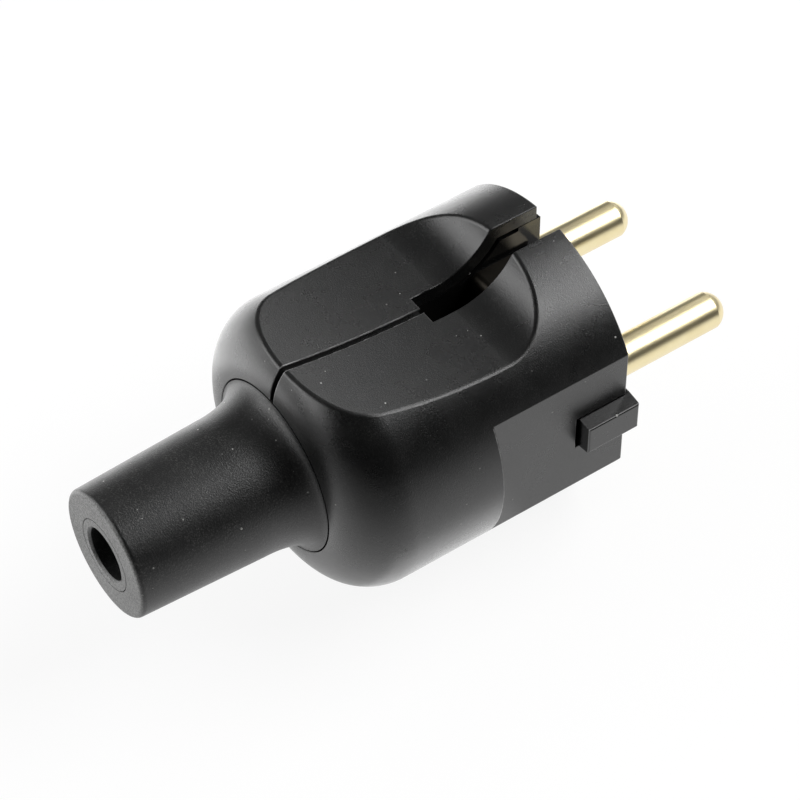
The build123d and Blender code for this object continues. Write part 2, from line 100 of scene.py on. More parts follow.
class NodeBench:
    """Adds, sets and links the nodes of one shader tree."""

    band_core: float = 0.4
    mix_colours: tuple[int, int] = (6, 7)
    mix_result: int = 2

    def __init__(self, tree: bpy.types.NodeTree) -> None:
        """Keep the tree that the nodes go into.

        Args:
            tree: A material's, a world's or a group's node tree.
        """
        self.tree = tree

    def add(self, kind: str, **settings: object) -> bpy.types.Node:
        """Add a node.

        Args:
            kind: The node's type name.
            settings: Properties of the node to set.

        Returns:
            The new node.
        """
        node = self.tree.nodes.new(kind)
        for name, value in settings.items():
            setattr(node, name, value)
        return node

    def link(self, source: bpy.types.NodeSocket, target: bpy.types.NodeSocket) -> None:
        """Lead one socket's value into another."""
        self.tree.links.new(source, target)

    def put(self, socket: bpy.types.NodeSocket, value: object) -> None:
        """Set or link one input.

        Args:
            socket: The input.
            value: A plain value or the socket that leads into the input.
        """
        if isinstance(value, bpy.types.NodeSocket):
            self.link(value, socket)
        else:
            socket.default_value = value

    def feed(self, node: bpy.types.Node, **inputs: object) -> bpy.types.Node:
        """Set or link a node's inputs by name, with _ for a space.

        Args:
            node: The node whose inputs are fed.
            inputs: For each input a plain value or the socket that leads into it.

        Returns:
            The same node.
        """
        for name, value in inputs.items():
            self.put(node.inputs[name.replace("_", " ")], value)
        return node

    def effect(self, kind: Effect, **inputs: object) -> bpy.types.NodeSocket:
        """Place a shared effect.

        Args:
            kind: The effect.
            inputs: Its inputs, plain values or sockets.

        Returns:
            The effect's only output.
        """
        return self.feed(self.add("ShaderNodeGroup", node_tree=kind.tree()), **inputs).outputs[0]

    def axes(self, place: bpy.types.NodeSocket) -> tuple[bpy.types.NodeSocket, ...]:
        """Split a place into its three coordinates.

        Args:
            place: The place's socket.

        Returns:
            The sockets of X, Y and Z.
        """
        split = self.add("ShaderNodeSeparateXYZ")
        self.link(place, split.inputs[0])
        return tuple(split.outputs[axis] for axis in "XYZ")

    def math(self, operation: str, *values: object) -> bpy.types.NodeSocket:
        """Add a Math node.

        Args:
            operation: The operation's name.
            values: Its operands, plain numbers or sockets.

        Returns:
            The result's socket.
        """
        node = self.add("ShaderNodeMath", operation=operation)
        for socket, value in zip(node.inputs, values):
            self.put(socket, value)
        return node.outputs[0]

    def ramp(self, value: bpy.types.NodeSocket, low: float, high: float,
             to_low: float = 0.0, to_high: float = 1.0) -> bpy.types.NodeSocket:
        """Map a value smoothly from one range to another.

        Args:
            value: The socket to map.
            low: Where the range starts.
            high: Where the range ends.
            to_low: The result at its start.
            to_high: The result at its end.

        Returns:
            The mapped value's socket.
        """
        node = self.add("ShaderNodeMapRange", interpolation_type="SMOOTHSTEP")
        self.feed(node, From_Min=low, From_Max=high, To_Min=to_low, To_Max=to_high, Value=value)
        return node.outputs["Result"]

    def band(self, value: bpy.types.NodeSocket, middle: float, half: float) -> bpy.types.NodeSocket:
        """A narrow soft band around one level of a value.

        Args:
            value: The socket that is compared.
            middle: The level.
            half: How far from it the band fades out.

        Returns:
            A mask, one in the middle of the band.
        """
        away = self.math("ABSOLUTE", self.math("SUBTRACT", value, middle))
        return self.ramp(away, self.band_core * half, half, 1.0, 0.0)

    def mix(self, share: bpy.types.NodeSocket, first: object, second: object) -> bpy.types.NodeSocket:
        """Mix two colours, in a node whose sockets share names and so are taken by number.

        Args:
            share: How much of the second colour shows.
            first: A colour or a socket.
            second: A colour or a socket.

        Returns:
            The mixed colour's socket.
        """
        node = self.add("ShaderNodeMix", data_type="RGBA")
        self.link(share, node.inputs[0])
        for number, value in zip(self.mix_colours, (first, second)):
            self.put(node.inputs[number], (*value, 1.0) if isinstance(value, tuple) else value)
        return node.outputs[self.mix_result]

    def roughen(self, shader: bpy.types.Node, height: bpy.types.NodeSocket, depth: float) -> None:
        """Raise and sink a surface a little.

        Args:
            shader: The material's Principled BSDF.
            height: The relief, from zero to one.
            depth: How deep it is.
        """
        bump = self.add("ShaderNodeBump")
        self.feed(bump, Strength=1.0, Distance=depth, Height=height)
        self.link(bump.outputs["Normal"], shader.inputs["Normal"])


class Effect(Enum):
    """Shader node groups that several finishes share."""

    SPECKS = "dust_specks"
    GRAIN = "moulded_grain"
    HAZE = "handling_haze"
    FILM = "settled_film"

    def tree(self) -> bpy.types.NodeTree:
        """The effect's node group, built the first time that it is asked for."""
        found = bpy.data.node_groups.get(self.value)
        return found if found else getattr(EffectMaker, self.value)(self.value)


class EffectMaker:
    """Builds the node groups of the shared effects."""

    speck_falloff: float = 2.0
    faintest_speck: float = 0.25
    grain_detail: float = 3.0
    haze_noise: dict[str, float] = {"Detail": 5.0, "Roughness": 0.6, "Distortion": 0.4}
    dot_noise: dict[str, float] = {"Detail": 2.0, "Roughness": 0.7}
    crowd_noise: dict[str, float] = {"Detail": 3.0, "Roughness": 0.5}
    crowd_scale: float = 0.06
    dot_levels: tuple[float, float] = (0.48, 0.72)
    crowd_levels: tuple[float, float] = (0.35, 0.7)
    thinnest_film: float = 0.3

    @staticmethod
    def start(name: str, inputs: tuple[str, ...],
              output: str) -> tuple[NodeBench, dict[str, bpy.types.NodeSocket], bpy.types.NodeSocket]:
        """Make an empty group with a Vector input, number inputs and one number output.

        Args:
            name: The group's name.
            inputs: Names of its number inputs.
            output: Name of its output.

        Returns:
            Its bench, its input sockets by name, and its output socket.
        """
        tree = bpy.data.node_groups.new(name, "ShaderNodeTree")
        tree.interface.new_socket("Vector", in_out="INPUT", socket_type="NodeSocketVector")
        for label in inputs:
            tree.interface.new_socket(label, in_out="INPUT", socket_type="NodeSocketFloat")
        tree.interface.new_socket(output, in_out="OUTPUT", socket_type="NodeSocketFloat")
        bench = NodeBench(tree)
        entry = bench.add("NodeGroupInput")
        leave = bench.add("NodeGroupOutput")
        return bench, {s.name: s for s in entry.outputs if s.name}, leave.inputs[output]

    @staticmethod
    def dust_specks(name: str) -> bpy.types.NodeTree:
        """Sparse round specks of uneven size, as single grains of dust.

        Args:
            name: The group's name.

        Returns:
            The group, with Scale, Share and Size inputs and a Mask output.
        """
        bench, given, mask = EffectMaker.start(name, ("Scale", "Share", "Size"), "Mask")
        cells = bench.add("ShaderNodeTexVoronoi", voronoi_dimensions="3D", feature="F1")
        bench.feed(cells, Vector=given["Vector"], Scale=given["Scale"])
        chance = bench.add("ShaderNodeSeparateColor")
        bench.link(cells.outputs["Color"], chance.inputs[0])
        held = bench.math("LESS_THAN", chance.outputs[0], given["Share"])
        size = bench.math("POWER", chance.outputs[1], EffectMaker.speck_falloff)
        reach = bench.math("MULTIPLY", given["Size"], size)
        inside = bench.math("LESS_THAN", cells.outputs["Distance"], reach)
        shade = bench.ramp(chance.outputs[2], 0.0, 1.0, EffectMaker.faintest_speck, 1.0)
        bench.link(bench.math("MULTIPLY", bench.math("MULTIPLY", held, inside), shade), mask)
        return bench.tree

    @staticmethod
    def moulded_grain(name: str) -> bpy.types.NodeTree:
        """Fine even grain that a mould leaves on plastic.

        Args:
            name: The group's name.

        Returns:
            The group, with Scale and Roughness inputs and a Height output.
        """
        bench, given, height = EffectMaker.start(name, ("Scale", "Roughness"), "Height")
        noise = bench.add("ShaderNodeTexNoise", noise_dimensions="3D")
        bench.feed(noise, **given, Detail=EffectMaker.grain_detail)
        bench.link(noise.outputs["Fac"], height)
        return bench.tree

    @staticmethod
    def handling_haze(name: str) -> bpy.types.NodeTree:
        """Broad soft patches where a surface has been handled and wiped.

        Args:
            name: The group's name.

        Returns:
            The group, with Scale and Contrast inputs and a Mask output.
        """
        bench, given, mask = EffectMaker.start(name, ("Scale", "Contrast"), "Mask")
        noise = bench.add("ShaderNodeTexNoise", noise_dimensions="3D")
        bench.feed(noise, Vector=given["Vector"], Scale=given["Scale"], **EffectMaker.haze_noise)
        centred = bench.math("SUBTRACT", noise.outputs["Fac"], 0.5)
        spread = bench.math("ADD", bench.math("MULTIPLY", centred, given["Contrast"]), 0.5)
        bench.link(bench.math("MINIMUM", bench.math("MAXIMUM", spread, 0.0), 1.0), mask)
        return bench.tree

    @staticmethod
    def settled_film(name: str) -> bpy.types.NodeTree:
        """Thin powdery film, in fine dots that crowd together in places.

        Args:
            name: The group's name.

        Returns:
            The group, with Scale and Amount inputs and a Mask output.
        """
        bench, given, mask = EffectMaker.start(name, ("Scale", "Amount"), "Mask")
        dots = bench.add("ShaderNodeTexNoise", noise_dimensions="3D")
        bench.feed(dots, Vector=given["Vector"], Scale=given["Scale"], **EffectMaker.dot_noise)
        crowd = bench.add("ShaderNodeTexNoise", noise_dimensions="3D")
        wide = bench.math("MULTIPLY", given["Scale"], EffectMaker.crowd_scale)
        bench.feed(crowd, Vector=given["Vector"], Scale=wide, **EffectMaker.crowd_noise)
        fine = bench.ramp(dots.outputs["Fac"], *EffectMaker.dot_levels)
        patch = bench.ramp(crowd.outputs["Fac"], *EffectMaker.crowd_levels, EffectMaker.thinnest_film, 1.0)
        bench.link(bench.math("MULTIPLY", bench.math("MULTIPLY", fine, patch), given["Amount"]), mask)
        return bench.tree


class Finish:
    """What every finish has in common: a name and a material that is made once."""

    name: str

    def material(self) -> bpy.types.Material:
        """The finish as a material, made the first time that it is asked for.

        Returns:
            The material.
        """
        made = bpy.data.materials.get(self.name)
        if made is None:
            made = bpy.data.materials.new(self.name)
            made.use_nodes = True
            self.mix_in(NodeBench(made.node_tree), made.node_tree.nodes["Principled BSDF"])
        return made

    def mix_in(self, bench: NodeBench, shader: bpy.types.Node) -> None:
        """Add the finish's own nodes."""
        raise NotImplementedError

    def local_colour(self, bench: NodeBench, place: bpy.types.NodeSocket,
                     body: bpy.types.NodeSocket) -> bpy.types.NodeSocket:
        """The colour where it differs from place to place; a plain finish is even."""
        return body

    def put_on(self, piece: bpy.types.Object) -> None:
        """Make the finish a piece's only material.

        Args:
            piece: The piece that wears it.
        """
        piece.data.materials.clear()
        piece.data.materials.append(self.material())
        LOG.info("%s wears %s", piece.name, self.name)


@dataclass(frozen=True)
class PlasticFinish(Finish):
    """Moulded plastic with mould grain, handling haze and single grains of dust."""

    name: str
    colour: Colour
    hazed: Colour
    dust: Colour
    smooth: float
    dull: float
    grain_scale: float
    grain_depth: float
    speck_scale: float
    speck_share: float
    speck_size: float
    film: float
    ior: float = 1.6
    haze_scale: float = 140.0
    haze_contrast: float = 2.2
    grain_roughness: float = 0.6

    def mix_in(self, bench: NodeBench, shader: bpy.types.Node) -> None:
        """Add the plastic's nodes.

        Args:
            bench: The material's bench.
            shader: Its Principled BSDF.
        """
        shader.inputs["IOR"].default_value = self.ior
        place = bench.add("ShaderNodeTexCoord").outputs["Object"]
        haze = bench.effect(Effect.HAZE, Vector=place, Scale=self.haze_scale, Contrast=self.haze_contrast)
        specks = bench.effect(Effect.SPECKS, Vector=place, Scale=self.speck_scale,
                              Share=self.speck_share, Size=self.speck_size)
        film = bench.effect(Effect.FILM, Vector=place, Scale=self.grain_scale, Amount=self.film)
        grain = bench.effect(Effect.GRAIN, Vector=place, Scale=self.grain_scale,
                             Roughness=self.grain_roughness)
        body = bench.mix(haze, self.colour, self.hazed)
        body = self.local_colour(bench, place, body)
        body = bench.mix(film, body, self.dust)
        bench.link(bench.mix(specks, body, self.dust), shader.inputs["Base Color"])
        dulled = bench.ramp(haze, 0.0, 1.0, self.smooth, self.dull)
        bench.link(bench.math("MAXIMUM", dulled, specks), shader.inputs["Roughness"])
        bench.roughen(shader, grain, self.grain_depth)


@dataclass(frozen=True)
class HousingFinish(PlasticFinish):
    """Satin plastic with painted highlights: pale lines along the seam's lips, behind the flats and at the
    lugs' cut-outs.
    """

    seam_y: float = 0.33 * MM
    seam_highlight_share: float = 0.8
    step_x: float = -20.0 * MM
    step_y: float = 16.25 * MM
    step_radius: float = 18.65 * MM
    notch_x: float = -7.8 * MM
    notch_y: float = 16.05 * MM
    notch_z: float = 2.5 * MM
    highlight_width: float = 0.09 * MM
    highlight_break_scale: float = 900.0
    highlight_break_contrast: float = 2.5
    faintest_highlight: float = 0.35
    # Colour of the painted highlights on the seam lips, the step edge and the cut-out edges.
    painted_edge_highlight: Colour = (0.34, 0.34, 0.34)

    def local_colour(self, bench: NodeBench, place: bpy.types.NodeSocket,
                     body: bpy.types.NodeSocket) -> bpy.types.NodeSocket:
        """The colour with painted highlights along its edges.

        Args:
            bench: The material's bench.
            place: Object coordinates.
            body: The colour elsewhere.

        Returns:
            The colour's socket.
        """
        width = self.highlight_width
        along, across, height = bench.axes(place)
        outward = bench.math("ABSOLUTE", across)
        radius = bench.math("SQRT", bench.math("ADD", bench.math("MULTIPLY", across, across),
                                               bench.math("MULTIPLY", height, height)))
        seam = bench.band(outward, self.seam_y + width, width)
        step = bench.math("MULTIPLY", bench.band(along, self.step_x - width, width),
                          bench.ramp(outward, self.step_y, self.step_y + width))
        rim = bench.ramp(radius, self.step_radius - 2.0 * width, self.step_radius - width)
        step = bench.math("MULTIPLY", step, rim)
        inside = bench.ramp(bench.math("ABSOLUTE", height), self.notch_z, self.notch_z + width, 1.0, 0.0)
        notch = bench.math("MULTIPLY", bench.band(along, self.notch_x - width, width), inside)
        notch = bench.math("MULTIPLY", notch, bench.ramp(outward, self.notch_y - width, self.notch_y))
        highlight_breakup = bench.effect(Effect.HAZE, Vector=place, Scale=self.highlight_break_scale, Contrast=self.highlight_break_contrast)
        # Painted highlight: pale lines stand in for light caught on the rounded seam lips, step edge and
        # cut-out edges.
        mask = bench.math("MAXIMUM", bench.math("MULTIPLY", seam, self.seam_highlight_share),
                          bench.math("MAXIMUM", step, notch))
        uneven = bench.ramp(highlight_breakup, 0.0, 1.0, self.faintest_highlight, 1.0)
        return bench.mix(bench.math("MULTIPLY", mask, uneven), body, self.painted_edge_highlight)


@dataclass(frozen=True)
class RubberFinish(PlasticFinish):
    """Grained rubber whose trimmed end is paler and chalky."""

    end_x: float = -62.78 * MM
    end_fade: float = 0.3 * MM
    end_colour: Colour = (0.24, 0.24, 0.235)
    end_pits: Colour = (0.06, 0.06, 0.06)
    pit_scale: float = 0.8
    pit_roughness: float = 0.7
    pit_levels: tuple[float, float] = (0.34, 0.66)

    def local_colour(self, bench: NodeBench, place: bpy.types.NodeSocket,
                     body: bpy.types.NodeSocket) -> bpy.types.NodeSocket:
        """The colour with the trimmed end laid over it.

        Args:
            bench: The material's bench.
            place: Object coordinates.
            body: The colour elsewhere.

        Returns:
            The colour's socket.
        """
        along = bench.axes(place)[0]
        trimmed = bench.ramp(along, self.end_x, self.end_x + self.end_fade, 1.0, 0.0)
        pits = bench.effect(Effect.GRAIN, Vector=place, Scale=self.pit_scale * self.grain_scale,
                            Roughness=self.pit_roughness)
        chalk = bench.mix(bench.ramp(pits, *self.pit_levels), self.end_pits, self.end_colour)
        return bench.mix(trimmed, body, chalk)


@dataclass(frozen=True)
class MetalFinish(Finish):
    """Turned, stamped or plated metal with fine working lines and a little tarnish."""

    name: str
    colour: Colour
    tarnish: Colour
    polish: float
    dull: float
    line_scale: Place
    line_depth: float
    line_roughness: float = 0.5
    haze_scale: float = 260.0
    haze_contrast: float = 2.0

    def mix_in(self, bench: NodeBench, shader: bpy.types.Node) -> None:
        """Add the metal's nodes.

        Args:
            bench: The material's bench.
            shader: Its Principled BSDF.
        """
        shader.inputs["Metallic"].default_value = 1.0
        place = bench.add("ShaderNodeTexCoord").outputs["Object"]
        haze = bench.effect(Effect.HAZE, Vector=place, Scale=self.haze_scale, Contrast=self.haze_contrast)
        along = bench.add("ShaderNodeMapping")
        bench.feed(along, Vector=place, Scale=self.line_scale)
        lines = bench.effect(Effect.GRAIN, Vector=along.outputs["Vector"], Scale=1.0,
                             Roughness=self.line_roughness)
        metal = bench.mix(haze, self.colour, self.tarnish)
        bench.link(self.local_colour(bench, place, metal), shader.inputs["Base Color"])
        rough = bench.ramp(haze, 0.0, 1.0, self.polish, self.dull)
        bench.link(rough, shader.inputs["Roughness"])
        bench.roughen(shader, lines, self.line_depth)


@dataclass(frozen=True)
class ContactFinish(MetalFinish):
    """Strip painted near black as painted shade deep inside its slot, turning to a paler brass towards the
    slot's mouth.
    """

    bright: Colour = (0.5, 0.45, 0.36)
    bright_x: float = -2.5 * MM
    painted_shade_x: float = -4.5 * MM

    def local_colour(self, bench: NodeBench, place: bpy.types.NodeSocket,
                     body: bpy.types.NodeSocket) -> bpy.types.NodeSocket:
        """The painted shade with its paler brass end at the slot's mouth.

        Args:
            bench: The material's bench.
            place: Object coordinates.
            body: The colour elsewhere.

        Returns:
            The colour's socket.
        """
        along = bench.axes(place)[0]
        return bench.mix(bench.ramp(along, self.painted_shade_x, self.bright_x), body, self.bright)


HOUSING_BLACK = HousingFinish(
    name="satin_black_housing", colour=(0.007, 0.0072, 0.0072), hazed=(0.009, 0.0092, 0.0092),
    dust=(0.55, 0.55, 0.53), smooth=0.26, dull=0.31, grain_scale=6500.0, grain_depth=24e-6,
    speck_scale=1300.0, speck_share=0.07, speck_size=0.18, film=0.05,
)
INSERT_BLACK = PlasticFinish(
    name="satin_black_insert", colour=(0.005, 0.0051, 0.0051), hazed=(0.007, 0.0071, 0.0071),
    dust=(0.5, 0.5, 0.48), smooth=0.20, dull=0.25, grain_scale=6000.0, grain_depth=5e-6,
    speck_scale=1500.0, speck_share=0.16, speck_size=0.24, film=0.01,
)
SLEEVE_BLACK = RubberFinish(
    name="grained_black_sleeve", colour=(0.008, 0.0082, 0.0082), hazed=(0.011, 0.0112, 0.0112),
    dust=(0.5, 0.5, 0.48), smooth=0.36, dull=0.43, grain_scale=5200.0, grain_depth=40e-6,
    speck_scale=1500.0, speck_share=0.2, speck_size=0.22, film=0.14,
)
PIN_BRASS = MetalFinish(
    name="polished_pin_brass", colour=(0.85, 0.755, 0.49), tarnish=(0.81, 0.695, 0.41),
    polish=0.31, dull=0.36, line_scale=(9000.0, 60.0, 60.0), line_depth=0.5e-6,
)
# Near-black colour and tarnish are painted shade: the strap lies in the slot's dark interior.
STRAP_IN_PAINTED_SHADE = ContactFinish(
    name="strap_brass_painted_shade", colour=(0.03, 0.027, 0.022), tarnish=(0.016, 0.014, 0.012),
    polish=0.42, dull=0.55, line_scale=(300.0, 7000.0, 7000.0), line_depth=1e-6,
)
BRIGHT_ZINC = MetalFinish(
    name="bright_zinc", colour=(0.66, 0.67, 0.68), tarnish=(0.52, 0.53, 0.55),
    polish=0.24, dull=0.36, line_scale=(2500.0, 2500.0, 2500.0), line_depth=2e-6,
)


class Pick(Enum):
    """Parts of a mesh that can be selected, by the name of Blender's select mode."""

    CORNERS = "VERT"
    EDGES = "EDGE"


class Modeller:
    """Shapes meshes with Blender's own operators, as by hand."""

    @staticmethod
    def clear() -> None:
        """Leave nothing selected."""
        bpy.ops.object.select_all(action="DESELECT")

    @staticmethod
    def pick(piece: bpy.types.Object, what: Pick, test: Callable[[Vector], bool]) -> None:
        """Go into edit mode with parts of a mesh selected by their place.

        Args:
            piece: The piece, which is the active object.
            what: Which parts to select.
            test: Says for a part's middle whether it is selected.
        """
        bpy.ops.object.mode_set(mode="EDIT")
        bpy.ops.mesh.select_mode(type=what.value)
        bpy.ops.mesh.select_all(action="DESELECT")
        bpy.ops.object.mode_set(mode="OBJECT")
        mesh = piece.data
        for corner in mesh.vertices if what is Pick.CORNERS else ():
            corner.select = test(corner.co)
        for edge in mesh.edges if what is Pick.EDGES else ():
            first, second = (mesh.vertices[number].co for number in edge.vertices)
            edge.select = test((first + second) / 2)
        bpy.ops.object.mode_set(mode="EDIT")

    @staticmethod
    def done() -> None:
        """Go back to object mode."""
        bpy.ops.object.mode_set(mode="OBJECT")

    @staticmethod
    def settle() -> None:
        """Put the active piece's place into its mesh."""
        bpy.ops.object.transform_apply(location=True, rotation=True, scale=True)

    @staticmethod
    def modify(piece: bpy.types.Object, kind: str, **settings: object) -> None:
        """Add a modifier and apply it.

        Args:
            piece: The piece that is modified.
            kind: The modifier's type name.
            settings: Its properties.
        """
        bpy.context.view_layer.objects.active = piece
        bpy.ops.object.modifier_add(type=kind)
        added = piece.modifiers[-1]
        for name, value in settings.items():
            setattr(added, name, value)
        bpy.ops.object.modifier_apply(modifier=added.name)

    @staticmethod
    def join(pieces: list[bpy.types.Object], name: str) -> bpy.types.Object:
        """Make one piece of several.

        Args:
            pieces: The pieces.
            name: The joined piece's name.

        Returns:
            The joined piece.
        """
        Modeller.clear()
        for piece in pieces:
            piece.select_set(True)
        bpy.context.view_layer.objects.active = pieces[0]
        bpy.ops.object.join()
        joined = bpy.context.object
        joined.name = joined.data.name = name
        return joined


@dataclass(frozen=True)
class SlottedScrew:
    """Screw with a round head, a sawn slot and a rolled thread, standing along Z on its head's underside."""

    head_diameter: float
    head_height: float
    head_rounding: float
    length: float
    shank_diameter: float = 3.0 * MM
    pitch: float = 0.5 * MM
    thread_depth: float = 0.28 * MM
    thread_foot: float = 0.9
    thread_crest: float = 0.25
    thread_sides: int = 4
    slot_width: float = 0.8 * MM
    slot_depth: float = 0.9 * MM
    saw_span: float = 3.0
    burr: float = 0.06 * MM
    burr_angle: float = 50.0
    tip: float = 0.45 * MM
    head_sides: int = 48
    core_sides: int = 32
    rim_steps: int = 6
    burr_steps: int = 2
    turn_steps: int = 24
    smooth_angle: float = 35.0

    def head(self) -> bpy.types.Object:
        """The head, its rim rounded and its slot sawn.

        Returns:
            The head.
        """
        Modeller.clear()
        reach = self.head_diameter / 2
        bpy.ops.mesh.primitive_cube_add(size=1.0, location=(0.0, 0.0, self.head_height))
        saw = bpy.context.object
        bpy.ops.transform.resize(value=(self.saw_span * reach, self.slot_width, 2.0 * self.slot_depth))
        Modeller.settle()
        Modeller.clear()
        bpy.ops.mesh.primitive_cylinder_add(vertices=self.head_sides, radius=reach, depth=self.head_height,
                                            location=(0.0, 0.0, self.head_height / 2))
        head = bpy.context.object
        Modeller.settle()
        Modeller.pick(head, Pick.EDGES, lambda middle: middle.z > self.head_height - TINY)
        bpy.ops.mesh.bevel(offset=self.head_rounding, segments=self.rim_steps, profile=0.5, affect="EDGES")
        Modeller.done()
        Modeller.modify(head, "BOOLEAN", operation="DIFFERENCE", object=saw, solver="EXACT")
        Modeller.modify(head, "BEVEL", width=self.burr, segments=self.burr_steps, limit_method="ANGLE",
                        angle_limit=math.radians(self.burr_angle))
        bpy.data.objects.remove(saw)
        return head

    def core(self) -> bpy.types.Object:
        """The shank inside the thread, with its chamfered tip.

        Returns:
            The core.
        """
        Modeller.clear()
        root = self.shank_diameter / 2 - self.thread_depth
        bpy.ops.mesh.primitive_cylinder_add(vertices=self.core_sides, radius=root, depth=self.length,
                                            location=(0.0, 0.0, -self.length / 2))
        core = bpy.context.object
        Modeller.settle()
        Modeller.pick(core, Pick.EDGES, lambda middle: middle.z < TINY - self.length)
        bpy.ops.mesh.bevel(offset=self.tip, segments=1, affect="EDGES")
        Modeller.done()
        return core

    def ridge(self) -> bpy.types.Object:
        """The thread's ridge, wound round the core.

        Returns:
            The ridge, closed at both ends.
        """
        Modeller.clear()
        crest = self.shank_diameter / 2
        root = crest - self.thread_depth
        low = self.tip - self.length
        turns = int((self.length - 2.0 * self.tip) / self.pitch)
        middle = (root + crest) / 2
        bpy.ops.mesh.primitive_plane_add(
            size=1.0, location=(middle - self.burr / 2, 0.0, low + self.pitch / 2),
            rotation=(math.pi / 2, 0.0, 0.0),
        )
        ridge = bpy.context.object
        ridge.scale = (crest - root + self.burr, self.thread_foot * self.pitch, 1.0)
        Modeller.settle()
        Modeller.pick(ridge, Pick.CORNERS, lambda corner: corner.x > middle)
        bpy.ops.transform.resize(value=(1.0, 1.0, self.thread_crest))
        bpy.ops.mesh.select_all(action="SELECT")
        bpy.ops.mesh.delete(type="ONLY_FACE")
        Modeller.done()
        Modeller.modify(ridge, "SCREW", axis="Z", angle=2.0 * math.pi, screw_offset=self.pitch,
                        iterations=turns, steps=self.turn_steps, render_steps=self.turn_steps)
        bpy.ops.object.mode_set(mode="EDIT")
        bpy.ops.mesh.select_all(action="SELECT")
        bpy.ops.mesh.fill_holes(sides=self.thread_sides)
        bpy.ops.mesh.select_all(action="SELECT")
        bpy.ops.mesh.normals_make_consistent(inside=False)
        Modeller.done()
        return ridge

    def build(self, name: str, seats: tuple[tuple[Place, Place], ...]) -> bpy.types.Object:
        """Model the screw once and set a copy of it into each seat.

        Args:
            name: The piece's name.
            seats: For each copy the middle of its head's underside and the way its head points.

        Returns:
            All copies as one piece.
        """
        model = Modeller.join([self.head(), self.core(), self.ridge()], name)
        bpy.ops.object.shade_smooth_by_angle(angle=math.radians(self.smooth_angle))
        copies = []
        for middle, points in seats:
            Modeller.clear()
            model.select_set(True)
            bpy.context.view_layer.objects.active = model
            bpy.ops.object.duplicate(linked=False)
            copy = bpy.context.object
            upward = Vector(points)
            side = Vector((1.0, 0.0, 0.0))
            pose = Matrix((side, upward.cross(side), upward)).transposed().to_4x4()
            pose.translation = Vector(middle)
            copy.matrix_world = pose
            bpy.context.view_layer.update()
            Modeller.settle()
            copies.append(copy)
        bpy.data.objects.remove(model)
        return Modeller.join(copies, name)


@dataclass
class SubAssembly:
    """Pieces of the plug that are built and dressed together."""

    frame: dict

    def node(self, name: str) -> bpy.types.Object:
        """A carried-over solid by its name."""
        return self.frame["nodes"][name]

    def build(self) -> None:
        """Model the sub-assembly's own pieces; most have none beside their solids."""

    def dress(self) -> None:
        """Put the finishes on."""
        raise NotImplementedError


@dataclass
class Housing(SubAssembly):
    """The two moulded halves that close round everything else."""

    halves: tuple[str, ...] = ("near_shell", "far_shell")

    def dress(self) -> None:
        """Put the housing's finish on both halves."""
        for half in self.halves:
            HOUSING_BLACK.put_on(self.node(half))


@dataclass
class ContactInsert(SubAssembly):
    """The insert with the pins, the earth strap, the earth socket and their terminals."""

    moulding: str = "pin_carrier"
    pins: tuple[str, ...] = ("line_pin", "neutral_pin")
    earth_parts: tuple[str, ...] = ("earth_strap", "earth_socket_clip", "earth_terminal")

    def dress(self) -> None:
        """Put the insert's finishes on."""
        INSERT_BLACK.put_on(self.node(self.moulding))
        for names, finish in ((self.pins, PIN_BRASS), (self.earth_parts, STRAP_IN_PAINTED_SHADE)):
            for name in names:
                finish.put_on(self.node(name))


@dataclass
class CableEntry(SubAssembly):
    """The sleeve, the bush in its mouth and the bar that grips the cord behind them."""

    rubbers: tuple[str, ...] = ("cable_sleeve", "cable_reducer")
    grip: str = "cord_grip_bar"

    def dress(self) -> None:
        """Put the entry's finishes on."""
        for name in self.rubbers:
            SLEEVE_BLACK.put_on(self.node(name))
        INSERT_BLACK.put_on(self.node(self.grip))


@dataclass
class Fasteners(SubAssembly):
    """All the slotted screws: at the terminals, through the housing and in the cord grip."""

    terminal_x: float = -24.6 * MM
    terminal_y: float = 13.4 * MM
    earth_x: float = -22.6 * MM
    earth_z: float = 3.9 * MM
    housing_x: float = -24.9 * MM
    housing_y: float = 11.5 * MM
    housing_z: float = 9.5 * MM
    grip_x: float = -31.7 * MM
    grip_y: float = 5.0 * MM
    grip_z: float = 6.8 * MM
    terminal: SlottedScrew = SlottedScrew(
        head_diameter=4.2 * MM, head_height=1.4 * MM, head_rounding=0.35 * MM, length=4.6 * MM)
    through: SlottedScrew = SlottedScrew(
        head_diameter=5.5 * MM, head_height=2.0 * MM, head_rounding=0.7 * MM, length=22.5 * MM)
    clamping: SlottedScrew = SlottedScrew(
        head_diameter=4.2 * MM, head_height=1.6 * MM, head_rounding=0.7 * MM, length=12.0 * MM)
    pieces: dict[str, bpy.types.Object] = field(default_factory=dict)

    def build(self) -> None:
        """Model the three kinds of screw in their seats."""
        far, near, upward = (0.0, 1.0, 0.0), (0.0, -1.0, 0.0), (0.0, 0.0, 1.0)
        self.pieces["terminal_screws"] = self.terminal.build("slotted_terminal_screws", (
            ((self.terminal_x, -self.terminal_y, 0.0), near),
            ((self.terminal_x, self.terminal_y, 0.0), far),
            ((self.earth_x, 0.0, self.earth_z), upward),
        ))
        self.pieces["housing_screws"] = self.through.build("slotted_housing_screws", (
            ((self.housing_x, self.housing_y, self.housing_z), far),
            ((self.housing_x, self.housing_y, -self.housing_z), far),
        ))
        self.pieces["cord_grip_screws"] = self.clamping.build("slotted_grip_screws", (
            ((self.grip_x, self.grip_y, self.grip_z), far),
            ((self.grip_x, self.grip_y, -self.grip_z), far),
        ))

    def dress(self) -> None:
        """Put zinc on the screws, and let them stand for their solids."""
        for node, piece in self.pieces.items():
            BRIGHT_ZINC.put_on(piece)
            BRIGHT_ZINC.put_on(self.node(node))
            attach(piece, BODY)
            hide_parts(node)


